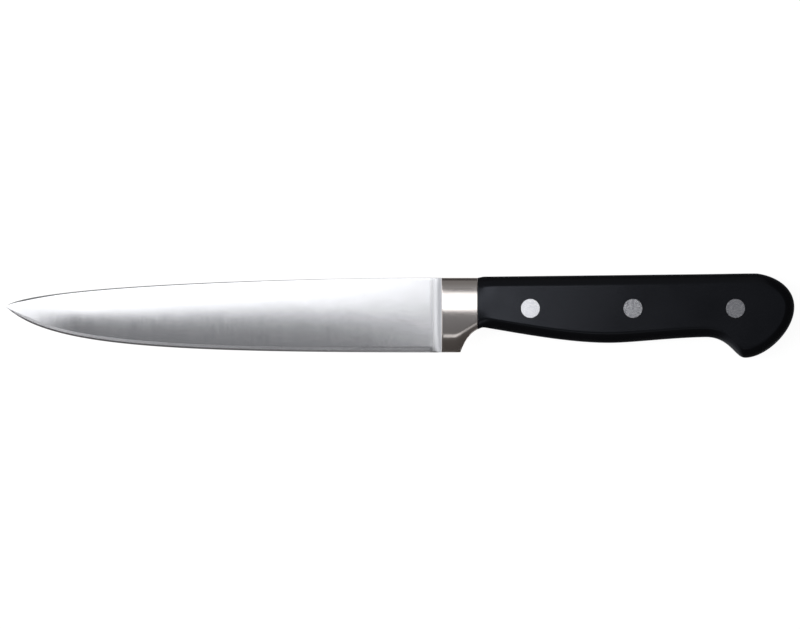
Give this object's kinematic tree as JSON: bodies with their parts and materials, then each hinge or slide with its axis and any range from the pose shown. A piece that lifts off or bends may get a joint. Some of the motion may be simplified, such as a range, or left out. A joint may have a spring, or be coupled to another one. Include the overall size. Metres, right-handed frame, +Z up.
{
  "type": "boning knife",
  "caption": "Forged kitchen knife lying flat: tapering pointed steel blade, full bolster with finger choil, full tang between black riveted handle scales with a hooked butt",
  "frame": {"origin": "middle of the footprint, on the outer face of the right scale, on which the knife lies", "axes": "+X from the tip to the butt, +Y from the edge to the spine, +Z up through the thickness to the left scale"},
  "size_m": [0.2756, 0.0294, 0.016],
  "materials": {
    "blade_steel": "satin ground blade, polished bolster",
    "scale_plastic": "satin moulded acetal",
    "rivet_steel": "ground flush"
  },
  "bodies": {
    "root": {"forged_blade": "blade_steel", "left_scale": "scale_plastic", "right_scale": "scale_plastic", "front_rivet_post": "rivet_steel", "front_rivet_tube": "rivet_steel", "middle_rivet_post": "rivet_steel", "middle_rivet_tube": "rivet_steel", "rear_rivet_post": "rivet_steel", "rear_rivet_tube": "rivet_steel"}
  },
  "joints": []
}
